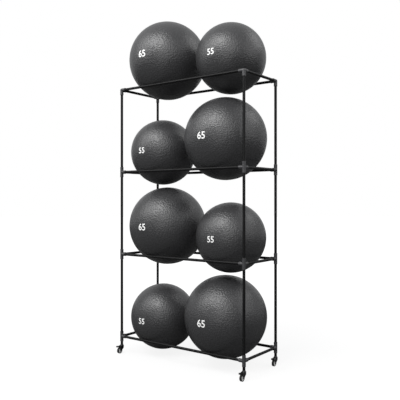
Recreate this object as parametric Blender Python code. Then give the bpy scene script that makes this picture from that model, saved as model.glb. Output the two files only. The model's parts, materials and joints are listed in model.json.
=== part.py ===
"""Exercise ball rack: a rolling frame of round tube with four tiers, and the eight balls that it holds.

Metres, +Z up, front towards -Y. The origin is on the floor, under the middle of the frame.
"""

import math

import bmesh
import bpy
from mathutils import Matrix, Vector

# The frame of tubes
SPAN_X = 1.230  # between the uprights' axes, along the front
SPAN_Y = 0.462  # between the uprights' axes, front to back
TIERS = 4
TIER_PITCH = 0.699
TUBE_OD = 0.0213
TUBE_WALL = 0.0020

# The slip-on connectors
SOCKET_REACH = 0.042  # from the corner's centre to each socket's mouth
SOCKET_WALL = 0.00265
BODY_PROUD = 0.0004  # the upright body stands out this much more than the side sockets
SOCKET_WEB = 0.0012  # left between a blind socket's floor and the through bore
CUT_PAST = 0.001  # how far a cutter runs out of the face that it opens

# The casters
WHEEL_OD = 0.050
WHEEL_WIDTH = 0.018
HUB_OD = 0.036
HUB_RECESS = 0.0015
HUB_BOSS_OD = 0.012
TYRE_ROUND = 0.0025
AXLE_OD = 0.006
TRAIL = 0.026  # from the swivel axis forward to the axle
FORK_TOP = 0.069  # above the floor
CROWN_OD = 0.033
CROWN_TOP_OD = 0.027
CROWN_PLATE = 0.003
CROWN_DEPTH = 0.0085  # from the fork's top down to the crown's rim
CROWN_RIM = 0.0045  # the upright part of the crown's side
CHEEK = 0.0025
CHEEK_GAP = 0.0015  # beside the tyre
CHEEK_BACK = 0.0105  # from the swivel axis back to the cheek's back edge
CHEEK_BACK_ROUND = 0.005
CHEEK_BACK_LOW = 0.047  # height of the cheek's lower back corner
AXLE_BOSS_OD = 0.016
PIN_BOSS_OD = 0.010
RIVET_PROUD = 0.0012
NECK_RISE = 0.030  # from the fork's top to the lowest connector's mouth
STEM_INSERT = 0.045  # how far the stem goes up inside the upright
COLLAR_OD = 0.024
COLLAR_RISE = 0.006
KINGPIN_OD = 0.010
KINGPIN_HEAD_OD = 0.014
KINGPIN_HEAD = 0.0025
SWIVEL_TURNS = {  # how far each caster stands turned from straight ahead
    "front_left": math.radians(1),
    "front_right": math.radians(1),
    "back_right": math.radians(2),
    "back_left": math.radians(0),
}

# The brake pedals
PEDAL_PIVOT_RISE = 0.008  # of the pedal's pivot above the tyre
PEDAL_PIN_OD = 0.004
PEDAL_HUB_OD = 0.008
PEDAL_WIDTH = 0.015
PEDAL_REACH = 0.0615  # from the swivel axis forward to the pedal's tip
PEDAL_TIP_RISE = 0.0075  # of the tip above the pivot
PEDAL_THICK = 0.005
PEDAL_LIP = 0.0115  # height of the lip that turns down at the tip, top to bottom
PEDAL_LIP_THICK = 0.004
PEDAL_PRESS = math.radians(15)
CAM_WIDTH = 0.011
CAM_NOSE = 0.001

# The balls, each laid on the front and back rail of its tier
BALL_OD = {"large": 0.650, "small": 0.550}
BALL_WALL = 0.0012
VALVE_OD = 0.004
BALL_OVERHANG = 0.0075  # how far a ball's outer side stands past the uprights' axes
LEFT_BALLS = ("small", "large", "small", "large")  # from the lowest tier up
RIGHT_BALLS = ("large", "small", "large", "small")
ROLL_TILT = math.radians(6)  # turns the roll-out axis in plan, so that a ball passes inside the upright

SLIP = 0.0003  # clearance between pieces that fit or touch
WELD = 1e-6
TUBE_SIDES = 12
WHEEL_SIDES = 20
DISC_SIDES = 10
BALL_RINGS = 10
BALL_STEPS_BETWEEN_RAILS = 4
BALL_STEPS_ROUND_THE_TOP = 12
SHARP_ANGLE = math.radians(35)
FLAT_ANGLE = math.radians(0.05)  # faces nearer to one plane than this become one face after a cut

COLLAR_TOP = FORK_TOP + SLIP + COLLAR_RISE
UPRIGHT_FOOT = COLLAR_TOP + SLIP
LOWEST_TIER = FORK_TOP + NECK_RISE + SOCKET_REACH
BORE_R = TUBE_OD / 2 + SLIP
SIDE_SOCKET_R = BORE_R + SOCKET_WALL
BODY_R = SIDE_SOCKET_R + BODY_PROUD
SOCKET_FLOOR = BORE_R + SOCKET_WEB
TUBE_STOP = SOCKET_FLOOR + SLIP
CHEEK_INSIDE = WHEEL_WIDTH / 2 + CHEEK_GAP
CHEEK_OUTSIDE = CHEEK_INSIDE + CHEEK
AXLE = Vector((0, -TRAIL, WHEEL_OD / 2))
PEDAL_PIVOT = Vector((0, -TRAIL, WHEEL_OD + PEDAL_PIVOT_RISE))

UP = Vector((0, 0, 1))
CORNERS = {  # name: (side of the middle along X, along Y, turn from the front left corner)
    "front_left": (-1, -1, 0),
    "front_right": (1, -1, math.pi / 2),
    "back_right": (1, 1, math.pi),
    "back_left": (-1, 1, -math.pi / 2),
}


def clear_scene():
    for thing in list(bpy.data.objects):
        bpy.data.objects.remove(thing)


def make_material(name, colour, roughness, metallic=0.0):
    material = bpy.data.materials.new(name)
    material.use_nodes = True
    shader = material.node_tree.nodes["Principled BSDF"]
    shader.inputs["Base Color"].default_value = (*colour, 1)
    shader.inputs["Roughness"].default_value = roughness
    shader.inputs["Metallic"].default_value = metallic
    return material


def mesh_from(bm):
    """A Blender mesh of bm, welded and facing outwards."""
    bmesh.ops.remove_doubles(bm, verts=bm.verts, dist=WELD)
    bmesh.ops.recalc_face_normals(bm, faces=bm.faces)
    mesh = bpy.data.meshes.new("shape")
    bm.to_mesh(mesh)
    bm.free()
    return mesh


def spun(points, axis, stretches, closed):
    """A profile turned about an axis through the origin, in stretches of (angle, steps) that make one turn."""
    bm = bmesh.new()
    verts = [bm.verts.new(point) for point in points]
    following = verts[1:] + verts[:1] if closed else verts[1:]
    edges = [bm.edges.new(pair) for pair in zip(verts, following)]
    geometry = verts + edges
    for angle, steps in stretches:
        turn = bmesh.ops.spin(bm, geom=geometry, cent=(0, 0, 0), axis=axis, angle=angle, steps=steps)
        geometry = turn["geom_last"]
    return mesh_from(bm)


def turned(profile, sides, towards=UP, closed=False, first=0.0):
    """A turned piece. The profile holds (radius, distance along the axis), and an open one ends on the axis."""
    points = [(radius * math.cos(first), radius * math.sin(first), along) for radius, along in profile]
    mesh = spun(points, UP, [(2 * math.pi, sides)], closed)
    mesh.transform(UP.rotation_difference(Vector(towards)).to_matrix().to_4x4())
    return mesh


def rod(radius, start, end, sides, towards=UP):
    return turned([(0, start), (radius, start), (radius, end), (0, end)], sides, towards)


def hulled(points):
    """The convex solid round some points."""
    bm = bmesh.new()
    for point in points:
        bm.verts.new(point)
    hull = bmesh.ops.convex_hull(bm, input=bm.verts)
    inside = {item for item in hull["geom_interior"] if isinstance(item, bmesh.types.BMVert)}
    bmesh.ops.delete(bm, geom=list(inside), context="VERTS")
    return mesh_from(bm)


def disc_across(y, z, radius, half_width, inner=None):
    """The corners of a disc that faces along X. It runs from inner, or from -half_width, to half_width."""
    near = -half_width if inner is None else inner
    turns = [2 * math.pi * step / DISC_SIDES for step in range(DISC_SIDES)]
    return [
        (x, y + radius * math.cos(turn), z + radius * math.sin(turn))
        for x in (near, half_width)
        for turn in turns
    ]


def disc_flat(x, y, radius, low, high):
    """The corners of a disc that lies flat, from the height low to high."""
    turns = [2 * math.pi * step / DISC_SIDES for step in range(DISC_SIDES)]
    return [
        (x + radius * math.cos(turn), y + radius * math.sin(turn), z)
        for z in (low, high)
        for turn in turns
    ]


def worked(mesh, steps):
    """The mesh that is left when each (operation, mesh) has been done on it, welded after each one."""
    collection = bpy.context.scene.collection
    for operation, other in steps:
        work = bpy.data.objects.new("work", mesh)
        tool = bpy.data.objects.new("tool", other)
        collection.objects.link(work)
        collection.objects.link(tool)
        boolean = work.modifiers.new(operation, "BOOLEAN")
        boolean.operation = operation
        boolean.object = tool
        graph = bpy.context.evaluated_depsgraph_get()
        bm = bmesh.new()
        bm.from_object(work, graph)
        bmesh.ops.dissolve_degenerate(bm, edges=bm.edges, dist=WELD)
        bmesh.ops.dissolve_limit(bm, angle_limit=FLAT_ANGLE, verts=bm.verts, edges=bm.edges)
        mesh = mesh_from(bm)
        bpy.data.objects.remove(work)
        bpy.data.objects.remove(tool)
    return mesh


def place(name, mesh, material, location, turn=0.0, parent=None):
    """Puts a mesh in the scene as one named piece, turned about Z, at its place in its parent or in the world."""
    if not mesh.materials:
        mesh.materials.append(material)
        mesh.shade_smooth()
        mesh.set_sharp_from_angle(angle=SHARP_ANGLE)
    piece = bpy.data.objects.new(name, mesh)
    bpy.context.scene.collection.objects.link(piece)
    piece.parent = parent
    piece.location = location
    piece.rotation_euler.z = turn
    return piece


def corner_xy(side_x, side_y):
    return side_x * SPAN_X / 2, side_y * SPAN_Y / 2


def tier_height(tier):
    """The height of the rails' axes on a tier, counted from 1 at the bottom."""
    return LOWEST_TIER + (tier - 1) * TIER_PITCH


def tube_mesh(length, towards):
    """A tube whose lower end is at the origin."""
    outside = TUBE_OD / 2
    inside = outside - TUBE_WALL
    profile = [(inside, 0), (outside, 0), (outside, length), (inside, length)]
    return turned(profile, TUBE_SIDES, towards, closed=True)


def build_uprights(material):
    """Four tubes that stand on the stems' collars, pass through the connectors and stop in the top corner's socket."""
    mesh = tube_mesh(tier_height(TIERS) - TUBE_STOP - UPRIGHT_FOOT, UP)
    for name, (side_x, side_y, _) in CORNERS.items():
        x, y = corner_xy(side_x, side_y)
        place(f"upright_{name}", mesh, material, (x, y, UPRIGHT_FOOT))


def build_rails(material):
    """Four rails on each tier, all at one height, each held in a socket at both ends."""
    left, front = TUBE_STOP - SPAN_X / 2, TUBE_STOP - SPAN_Y / 2
    long_rail = tube_mesh(SPAN_X - 2 * TUBE_STOP, (1, 0, 0))
    short_rail = tube_mesh(SPAN_Y - 2 * TUBE_STOP, (0, 1, 0))
    for tier in range(1, TIERS + 1):
        z = tier_height(tier)
        place(f"rail_front_{tier}", long_rail, material, (left, -SPAN_Y / 2, z))
        place(f"rail_back_{tier}", long_rail, material, (left, SPAN_Y / 2, z))
        place(f"rail_left_{tier}", short_rail, material, (-SPAN_X / 2, front, z))
        place(f"rail_right_{tier}", short_rail, material, (SPAN_X / 2, front, z))


def side_sockets():
    """The outsides of the two side sockets. The second one's flats are turned half a step, for a clean crease."""
    profile = [(0, SLIP), (SIDE_SOCKET_R, SLIP), (SIDE_SOCKET_R, SOCKET_REACH), (0, SOCKET_REACH)]
    along_front = turned(profile, TUBE_SIDES, (1, 0, 0))
    along_side = turned(profile, TUBE_SIDES, (0, 1, 0), first=math.pi / TUBE_SIDES)
    return [("UNION", along_front), ("UNION", along_side)]


def side_bores():
    """The cutters for the two blind bores that hold the rails' ends."""
    past_mouth = SOCKET_REACH + CUT_PAST
    return [
        ("DIFFERENCE", rod(BORE_R, SOCKET_FLOOR, past_mouth, TUBE_SIDES, towards))
        for towards in ((1, 0, 0), (0, 1, 0))
    ]


def through_connector_mesh():
    """A body that the upright passes through, with blind sockets for two rails, towards +X and +Y."""
    past_mouth = SOCKET_REACH + CUT_PAST
    body = rod(BODY_R, -SOCKET_REACH, SOCKET_REACH, TUBE_SIDES)
    through_bore = rod(BORE_R, -past_mouth, past_mouth, TUBE_SIDES)
    return worked(body, [*side_sockets(), ("DIFFERENCE", through_bore), *side_bores()])


def corner_connector_mesh():
    """The top corner: a domed body with one socket down and two for rails, towards +X and +Y."""
    dome_turns = [math.radians(degrees) for degrees in (0, 30, 60, 90)]
    dome = [(BODY_R * math.sin(turn), BODY_R * math.cos(turn)) for turn in dome_turns]
    body = turned([*dome, (BODY_R, -SOCKET_REACH), (0, -SOCKET_REACH)], TUBE_SIDES)
    down_bore = rod(BORE_R, -SOCKET_REACH - CUT_PAST, -SOCKET_FLOOR, TUBE_SIDES)
    return worked(body, [*side_sockets(), ("DIFFERENCE", down_bore), *side_bores()])


def build_connectors(material):
    through = through_connector_mesh()
    corner = corner_connector_mesh()
    for name, (side_x, side_y, turn) in CORNERS.items():
        x, y = corner_xy(side_x, side_y)
        for tier in range(1, TIERS + 1):
            mesh = corner if tier == TIERS else through
            place(f"connector_{name}_{tier}", mesh, material, (x, y, tier_height(tier)), turn)


def caster_stem_mesh():
    """The swivel stem: a head under the fork's crown, a kingpin through it, a collar, and a plug for the upright."""
    crown_low = FORK_TOP - CROWN_PLATE
    head_top = crown_low - SLIP
    collar_low = FORK_TOP + SLIP
    plug_r = TUBE_OD / 2 - TUBE_WALL - SLIP
    top = UPRIGHT_FOOT + STEM_INSERT
    profile = [
        (0, head_top - KINGPIN_HEAD),
        (KINGPIN_HEAD_OD / 2, head_top - KINGPIN_HEAD),
        (KINGPIN_HEAD_OD / 2, head_top),
        (KINGPIN_OD / 2, head_top),
        (KINGPIN_OD / 2, collar_low),
        (COLLAR_OD / 2, collar_low),
        (TUBE_OD / 2, COLLAR_TOP),
        (plug_r, COLLAR_TOP),
        (plug_r, top),
        (0, top),
    ]
    return turned(profile, TUBE_SIDES)


def cheek_mesh(side):
    """One side plate of the fork, round the axle and the pedal's pin, with two round corners at the back."""
    back = CHEEK_BACK - CHEEK_BACK_ROUND
    bosses = [
        (back, FORK_TOP - CROWN_PLATE / 2 - CHEEK_BACK_ROUND, CHEEK_BACK_ROUND),
        (back, CHEEK_BACK_LOW, CHEEK_BACK_ROUND),
        (PEDAL_PIVOT.y, PEDAL_PIVOT.z, PIN_BOSS_OD / 2),
        (AXLE.y, AXLE.z, AXLE_BOSS_OD / 2),
    ]
    points = []
    for y, z, radius in bosses:
        points += disc_across(y, z, radius, side * CHEEK_OUTSIDE, side * CHEEK_INSIDE)
    return hulled(points)


def fork_mesh():
    """A cupped crown with a hole for the kingpin, two cheeks, and the axle riveted across them."""
    plate_low = FORK_TOP - CROWN_PLATE
    rim_low = FORK_TOP - CROWN_DEPTH
    crown = disc_flat(0, 0, CROWN_OD / 2, rim_low, rim_low + CROWN_RIM)
    crown += disc_flat(0, 0, CROWN_TOP_OD / 2, plate_low, FORK_TOP)
    cup = rod(CROWN_OD / 2 - CROWN_PLATE, rim_low - CUT_PAST, plate_low, TUBE_SIDES)
    across = (1, 0, 0)
    rivet = CHEEK_OUTSIDE + RIVET_PROUD
    axle = rod(AXLE_OD / 2, -rivet, rivet, TUBE_SIDES, across)
    axle.transform(Matrix.Translation(AXLE))
    past_cheek = CHEEK_OUTSIDE + CUT_PAST
    pin_hole = rod(PEDAL_PIN_OD / 2 + SLIP, -past_cheek, past_cheek, TUBE_SIDES, across)
    pin_hole.transform(Matrix.Translation(PEDAL_PIVOT))
    kingpin_hole = rod(KINGPIN_OD / 2 + SLIP, plate_low - CUT_PAST, FORK_TOP + CUT_PAST, TUBE_SIDES)
    return worked(
        hulled(crown),
        [
            ("DIFFERENCE", cup),
            ("UNION", cheek_mesh(-1)),
            ("UNION", cheek_mesh(1)),
            ("UNION", axle),
            ("DIFFERENCE", pin_hole),
            ("DIFFERENCE", kingpin_hole),
        ],
    )


def wheel_mesh():
    """A tyre on a hub with a boss at each side, turned about X, with one flat of the tread on the floor."""
    tread = WHEEL_OD / 2 / math.cos(math.pi / WHEEL_SIDES)
    side = WHEEL_WIDTH / 2
    boss = CHEEK_INSIDE - SLIP
    half = [
        (AXLE_OD / 2 + SLIP, boss),
        (HUB_BOSS_OD / 2, boss),
        (HUB_OD / 2, side - HUB_RECESS),
        (tread - TYRE_ROUND, side),
        (tread, side - TYRE_ROUND),
    ]
    profile = half + [(radius, -along) for radius, along in reversed(half)]
    half_step = math.pi / WHEEL_SIDES
    return turned(profile, WHEEL_SIDES, (1, 0, 0), closed=True, first=half_step)


def pedal_mesh():
    """The brake pedal about its pivot: a pin held by both cheeks, a tread plate forward whose tip turns down, and a
    cam over the tyre."""
    pin = rod(PEDAL_PIN_OD / 2, -CHEEK_OUTSIDE, CHEEK_OUTSIDE, TUBE_SIDES, (1, 0, 0))
    hub = rod(PEDAL_HUB_OD / 2, SLIP - CHEEK_INSIDE, CHEEK_INSIDE - SLIP, TUBE_SIDES, (1, 0, 0))
    tip_y = TRAIL - PEDAL_REACH + PEDAL_THICK / 2
    plate = disc_across(0, PEDAL_THICK / 2, PEDAL_THICK / 2, PEDAL_WIDTH / 2)
    tip = disc_across(tip_y, PEDAL_TIP_RISE, PEDAL_THICK / 2, PEDAL_WIDTH / 2)
    lip_r = PEDAL_LIP_THICK / 2
    lip_y = tip_y - PEDAL_THICK / 2 + lip_r
    lip = disc_across(lip_y, PEDAL_TIP_RISE + PEDAL_THICK / 2 - PEDAL_LIP + lip_r, lip_r, PEDAL_WIDTH / 2)
    nose = PEDAL_PIVOT_RISE - SLIP - CAM_NOSE
    cam = disc_across(0, 0, PEDAL_HUB_OD / 2 - CAM_NOSE, CAM_WIDTH / 2)
    cam += disc_across(-nose * math.sin(PEDAL_PRESS), -nose * math.cos(PEDAL_PRESS), CAM_NOSE, CAM_WIDTH / 2)
    shapes = [pin, hulled(plate + tip), hulled(tip + lip), hulled(cam)]
    return worked(hub, [("UNION", shape) for shape in shapes])


def build_casters(frame_metal, fork_metal, tyre, pedal_plastic):
    """Four swivel casters, all standing nearly straight ahead, with a brake pedal on each."""
    stem, fork, wheel, pedal = caster_stem_mesh(), fork_mesh(), wheel_mesh(), pedal_mesh()
    for name, (side_x, side_y, _) in CORNERS.items():
        x, y = corner_xy(side_x, side_y)
        place(f"caster_stem_{name}", stem, frame_metal, (x, y, 0))
        swivel = place(f"caster_fork_{name}", fork, fork_metal, (x, y, 0), SWIVEL_TURNS[name])
        place(f"caster_wheel_{name}", wheel, tyre, AXLE, parent=swivel)
        place(f"caster_pedal_{name}", pedal, pedal_plastic, PEDAL_PIVOT, parent=swivel)


def ball_seat(radius):
    """(height of a ball's centre above its rails' axes, angle of each contact from straight down)."""
    reach = radius + TUBE_OD / 2 + SLIP
    height = math.sqrt(reach**2 - (SPAN_Y / 2) ** 2)
    return height, math.atan2(SPAN_Y / 2, height)


def ball_mesh(radius):
    """A hollow ball turned about X, with corners where it meets the rails and its valve hole at the -X pole."""
    _, contact = ball_seat(radius)

    def arc(shell):
        hole = math.pi - math.asin(VALVE_OD / 2 / shell)
        turns = [math.pi * ring / BALL_RINGS for ring in range(BALL_RINGS)] + [hole]
        return [(shell * math.cos(turn), shell * math.sin(turn)) for turn in turns]

    profile = arc(radius) + arc(radius - BALL_WALL)[::-1]
    points = [(x, r * math.sin(contact), -r * math.cos(contact)) for x, r in profile]
    stretches = [
        (-2 * contact, BALL_STEPS_BETWEEN_RAILS),
        (2 * contact - 2 * math.pi, BALL_STEPS_ROUND_THE_TOP),
    ]
    return spun(points, (1, 0, 0), stretches, closed=False)


def roll_out_axis(name, centre, side_x):
    """An empty on the front rail's axis, turned in plan, about which a lower small ball rolls out to the front."""
    empty = bpy.data.objects.new(name, None)
    bpy.context.scene.collection.objects.link(empty)
    inwards = -side_x * SPAN_Y / 2 * math.tan(ROLL_TILT)
    height, _ = ball_seat(BALL_OD["small"] / 2)
    empty.location = centre + Vector((inwards, -SPAN_Y / 2, -height))
    empty.rotation_euler.z = -side_x * ROLL_TILT
    return empty


def build_balls(rubber):
    """Eight hollow balls, two on each tier. They lie between the rails under their own weight."""
    meshes = {size: ball_mesh(diameter / 2) for size, diameter in BALL_OD.items()}
    for side_name, side_x, sizes in (("left", -1, LEFT_BALLS), ("right", 1, RIGHT_BALLS)):
        for tier, size in enumerate(sizes, 1):
            radius = BALL_OD[size] / 2
            height, _ = ball_seat(radius)
            across = side_x * (SPAN_X / 2 + BALL_OVERHANG - radius)
            centre = Vector((across, 0, tier_height(tier) + height))
            ball = place(f"ball_{side_name}_{tier}", meshes[size], rubber, centre)
            if size == "small" and tier < TIERS:
                empty = roll_out_axis(f"roll_out_{side_name}_{tier}", centre, side_x)
                ball.parent = empty
                ball.matrix_parent_inverse = (
                    Matrix.Translation(empty.location) @ Matrix.Rotation(empty.rotation_euler.z, 4, "Z")
                ).inverted()


def main():
    clear_scene()
    tube_black = make_material("black_powder_coat", (0.010, 0.010, 0.011), 0.42, 0.0)
    connector_black = make_material("black_connector", (0.028, 0.028, 0.030), 0.48)
    fork_black = make_material("black_fork", (0.012, 0.012, 0.013), 0.40)
    tyre_black = make_material("black_tyre", (0.015, 0.015, 0.016), 0.60)
    pedal_black = make_material("black_pedal", (0.015, 0.015, 0.016), 0.50)
    ball_charcoal = make_material("charcoal_rubber", (0.042, 0.043, 0.046), 0.52)
    build_uprights(tube_black)
    build_rails(tube_black)
    build_connectors(connector_black)
    build_casters(tube_black, fork_black, tyre_black, pedal_black)
    build_balls(ball_charcoal)


main()
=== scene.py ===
import json
import math

import bmesh
import bpy
from mathutils import Matrix, Vector
from mathutils.geometry import convex_hull_2d


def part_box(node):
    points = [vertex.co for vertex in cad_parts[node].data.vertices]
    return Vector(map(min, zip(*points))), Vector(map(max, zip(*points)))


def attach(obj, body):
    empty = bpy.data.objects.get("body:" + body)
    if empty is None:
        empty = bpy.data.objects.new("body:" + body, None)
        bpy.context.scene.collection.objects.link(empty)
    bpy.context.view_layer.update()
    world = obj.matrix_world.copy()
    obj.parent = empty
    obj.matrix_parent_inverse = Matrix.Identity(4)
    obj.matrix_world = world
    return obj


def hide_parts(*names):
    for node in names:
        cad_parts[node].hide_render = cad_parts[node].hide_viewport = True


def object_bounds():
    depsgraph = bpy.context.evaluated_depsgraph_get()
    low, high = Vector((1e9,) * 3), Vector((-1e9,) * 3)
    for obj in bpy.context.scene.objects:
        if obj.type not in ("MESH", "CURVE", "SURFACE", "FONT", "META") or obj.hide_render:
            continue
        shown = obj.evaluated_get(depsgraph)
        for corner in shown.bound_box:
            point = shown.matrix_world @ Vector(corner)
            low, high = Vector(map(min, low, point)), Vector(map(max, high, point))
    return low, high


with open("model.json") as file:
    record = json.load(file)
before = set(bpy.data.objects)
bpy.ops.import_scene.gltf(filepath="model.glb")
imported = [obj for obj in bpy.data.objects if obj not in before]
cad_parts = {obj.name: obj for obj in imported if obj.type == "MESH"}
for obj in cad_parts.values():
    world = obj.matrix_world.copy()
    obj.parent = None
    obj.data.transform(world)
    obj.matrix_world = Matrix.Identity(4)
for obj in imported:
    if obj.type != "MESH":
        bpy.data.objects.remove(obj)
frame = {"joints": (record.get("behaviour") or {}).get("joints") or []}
cad_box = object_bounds()
joints = {joint["name"]: joint for joint in frame["joints"]}

# Uprights and rails
# Twenty lengths of steel tube, cut square, deburred and powder coated black. The four uprights pass
# through the connectors, and each of the sixteen rails is pushed into a blind socket at both ends.
CORNERS = ("front_left", "front_right", "back_right", "back_left")
TIERS = 4
TUBE_WALL = 0.0020
TUBE_RIM = 0.0004
TUBE_SIDES = 48
RIM_STEPS = 3


def node_on(tree, kind, inputs=(), **settings):
    """Adds a node. Its inputs, by name or number, take a value or a link from another node's output."""
    node = tree.nodes.new(kind)
    for name, value in settings.items():
        setattr(node, name, value)
    for socket, value in dict(inputs).items():
        if isinstance(value, bpy.types.NodeSocket):
            tree.links.new(value, node.inputs[socket])
        else:
            node.inputs[socket].default_value = value
    return node


def math_on(tree, operation, first, second, **settings):
    """The result of an operation on two numbers."""
    return node_on(tree, "ShaderNodeMath", {0: first, 1: second}, operation=operation, **settings).outputs[0]


def start_shape_tree(name, sizes):
    """A geometry tree with these inputs besides Geometry. Returns it and its input node's outputs."""
    tree = bpy.data.node_groups.new(name, "GeometryNodeTree")
    tree.interface.new_socket("Geometry", in_out="INPUT", socket_type="NodeSocketGeometry")
    for label, kind in sizes.items():
        tree.interface.new_socket(label, in_out="INPUT", socket_type=f"NodeSocket{kind}")
    tree.interface.new_socket("Geometry", in_out="OUTPUT", socket_type="NodeSocketGeometry")
    return tree, tree.nodes.new("NodeGroupInput").outputs


def end_shape_tree(tree, geometry, finish):
    made = node_on(tree, "GeometryNodeRealizeInstances", {"Geometry": geometry})
    coated = node_on(tree, "GeometryNodeSetMaterial", {"Geometry": made.outputs[0], "Material": finish})
    node_on(tree, "NodeGroupOutput", {"Geometry": coated.outputs[0]})
    return tree


def tube_tree():
    """A tube from Start to End: its wall, with rounded rims, carried once round a circle."""
    sizes = {"Start": "Vector", "End": "Vector", "Diameter": "Float", "Wall": "Float", "Rim": "Float"}
    sizes.update({"Sides": "Int", "Rim Steps": "Int", "Finish": "Material"})
    tree, given = start_shape_tree("tube", sizes)
    run = node_on(tree, "ShaderNodeVectorMath", {0: given["End"], 1: given["Start"]}, operation="SUBTRACT")
    length = node_on(tree, "ShaderNodeVectorMath", {0: run.outputs[0]}, operation="LENGTH")
    ends = node_on(tree, "ShaderNodeVectorMath", {0: given["End"], 1: given["Start"]}, operation="ADD")
    middle = node_on(tree, "ShaderNodeVectorMath", {0: ends.outputs[0], "Scale": 0.5}, operation="SCALE")
    across = math_on(tree, "SUBTRACT", given["Diameter"], given["Wall"])
    middle_r = math_on(tree, "MULTIPLY", across, 0.5)
    circle = node_on(
        tree, "GeometryNodeCurvePrimitiveCircle", {"Resolution": given["Sides"], "Radius": middle_r}
    )
    wall = node_on(
        tree,
        "GeometryNodeCurvePrimitiveQuadrilateral",
        {"Width": given["Wall"], "Height": length.outputs["Value"]},
    )
    rounded_wall = node_on(
        tree,
        "GeometryNodeFilletCurve",
        {"Curve": wall.outputs[0], "Count": given["Rim Steps"], "Radius": given["Rim"], "Limit Radius": True},
        mode="POLY",
    )
    tube = node_on(
        tree,
        "GeometryNodeCurveToMesh",
        {"Curve": circle.outputs[0], "Profile Curve": rounded_wall.outputs[0]},
    )
    turn = node_on(tree, "FunctionNodeAlignRotationToVector", {"Vector": run.outputs[0]}, axis="Z")
    placed = node_on(
        tree,
        "GeometryNodeTransform",
        {"Geometry": tube.outputs[0], "Translation": middle.outputs[0], "Rotation": turn.outputs[0]},
    )
    smooth = node_on(tree, "GeometryNodeSetShadeSmooth", {"Geometry": placed.outputs[0]})
    return end_shape_tree(tree, smooth.outputs[0], given["Finish"])


def grown(name, tree, sizes, start_mesh=None):
    """A plain mesh object that a geometry tree makes, from a mesh if one is given, with these values."""
    piece = bpy.data.objects.new(name, start_mesh or bpy.data.meshes.new(name))
    bpy.context.scene.collection.objects.link(piece)
    modifier = piece.modifiers.new(tree.name, "NODES")
    modifier.node_group = tree
    for socket in tree.interface.items_tree:
        if socket.in_out == "INPUT" and socket.name in sizes:
            modifier[socket.identifier] = sizes[socket.name]
    graph = bpy.context.evaluated_depsgraph_get()
    mesh = bpy.data.meshes.new_from_object(piece.evaluated_get(graph))
    piece.modifiers.remove(modifier)
    piece.data = mesh
    return piece


def fitted(piece, body, nodes=()):
    """Evens out the shading of a finished piece, hangs it on the body it rides on and hides the CAD parts it
    stands for.
    """
    piece.modifiers.new("even_shading", "WEIGHTED_NORMAL").keep_sharp = True
    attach(piece, body)
    if nodes:
        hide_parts(*nodes)
    return piece


def start_effect(name, values, masks):
    """A shader group with number inputs and these outputs. Returns it and its input node's outputs."""
    group = bpy.data.node_groups.new(name, "ShaderNodeTree")
    for label, value in values.items():
        group.interface.new_socket(label, in_out="INPUT", socket_type="NodeSocketFloat").default_value = value
    for label in masks:
        group.interface.new_socket(label, in_out="OUTPUT", socket_type="NodeSocketFloat")
    return group, group.nodes.new("NodeGroupInput").outputs


def noise_on(tree, place, scale, detail, **more):
    """A cloudy mask. More may set its Roughness and Distortion."""
    inputs = {"Vector": place, "Scale": scale, "Detail": detail, **more}
    return node_on(tree, "ShaderNodeTexNoise", inputs).outputs["Fac"]


def ramp_on(tree, value, start, end, results=(0.0, 1.0), **settings):
    """Carries a value that runs from start to end over to the two results."""
    inputs = {"Value": value, "From Min": start, "From Max": end, "To Min": results[0], "To Max": results[1]}
    return node_on(tree, "ShaderNodeMapRange", inputs, **settings).outputs[0]


def surface_grain():
    """The skin of a coating or a moulding: a fine relief, and slow cloudy changes across the surface."""
    scales = {"Grain Scale": 900.0, "Cloud Scale": 9.0}
    group, given = start_effect("surface_grain", scales, ("Relief", "Clouds"))
    place = group.nodes.new("ShaderNodeTexCoord").outputs["Object"]
    relief = noise_on(group, place, given["Grain Scale"], 2.0, Roughness=0.6)
    clouds = noise_on(group, place, given["Cloud Scale"], 4.0, Roughness=0.55)
    node_on(group, "NodeGroupOutput", {"Relief": relief, "Clouds": clouds})
    return group


def rubbed_edges():
    """Where handling has polished a piece: its outer edges, in patches, and a few scuffs on its faces."""
    values = {"Edge": 0.52, "Patch Scale": 60.0, "Scuff Scale": 22.0, "Scuffs": 0.3}
    group, given = start_effect("rubbed_edges", values, ("Rubbed",))
    place = group.nodes.new("ShaderNodeTexCoord").outputs["Object"]
    shape = group.nodes.new("ShaderNodeNewGeometry")
    edge = ramp_on(group, shape.outputs["Pointiness"], given["Edge"], 0.62)
    patches = noise_on(group, place, given["Patch Scale"], 3.0, Roughness=0.65)
    worn_edge = math_on(group, "MULTIPLY", edge, ramp_on(group, patches, 0.42, 0.66))
    scuffed = noise_on(group, place, given["Scuff Scale"], 6.0, Roughness=0.72, Distortion=1.6)
    scuffs = ramp_on(group, scuffed, 0.60, 0.74, (0.0, given["Scuffs"]))
    rubbed = math_on(group, "ADD", worn_edge, scuffs, use_clamp=True)
    node_on(group, "NodeGroupOutput", {"Rubbed": rubbed})
    return group


def settled_dust():
    """A thin uneven layer of dust on whatever faces up."""
    group, given = start_effect("settled_dust", {"Dust": 0.1, "Dust Scale": 14.0}, ("Dusty",))
    coordinates = group.nodes.new("ShaderNodeTexCoord")
    facing = node_on(group, "ShaderNodeSeparateXYZ", {0: coordinates.outputs["Normal"]})
    upward = ramp_on(group, facing.outputs["Z"], 0.15, 0.95)
    drift = noise_on(group, coordinates.outputs["Object"], given["Dust Scale"], 5.0, Roughness=0.6)
    amount = math_on(group, "MULTIPLY", upward, drift)
    node_on(group, "NodeGroupOutput", {"Dusty": math_on(group, "MULTIPLY", amount, given["Dust"])})
    return group


GRAIN, RUBBING, DUST = surface_grain(), rubbed_edges(), settled_dust()
DUST_GREY = (0.30, 0.29, 0.28, 1)


def effect_on(tree, effect, values):
    """Places an effect in a material, with its own values."""
    placed = node_on(tree, "ShaderNodeGroup", node_tree=effect)
    for label, value in values.items():
        placed.inputs[label].default_value = value
    return placed


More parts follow.
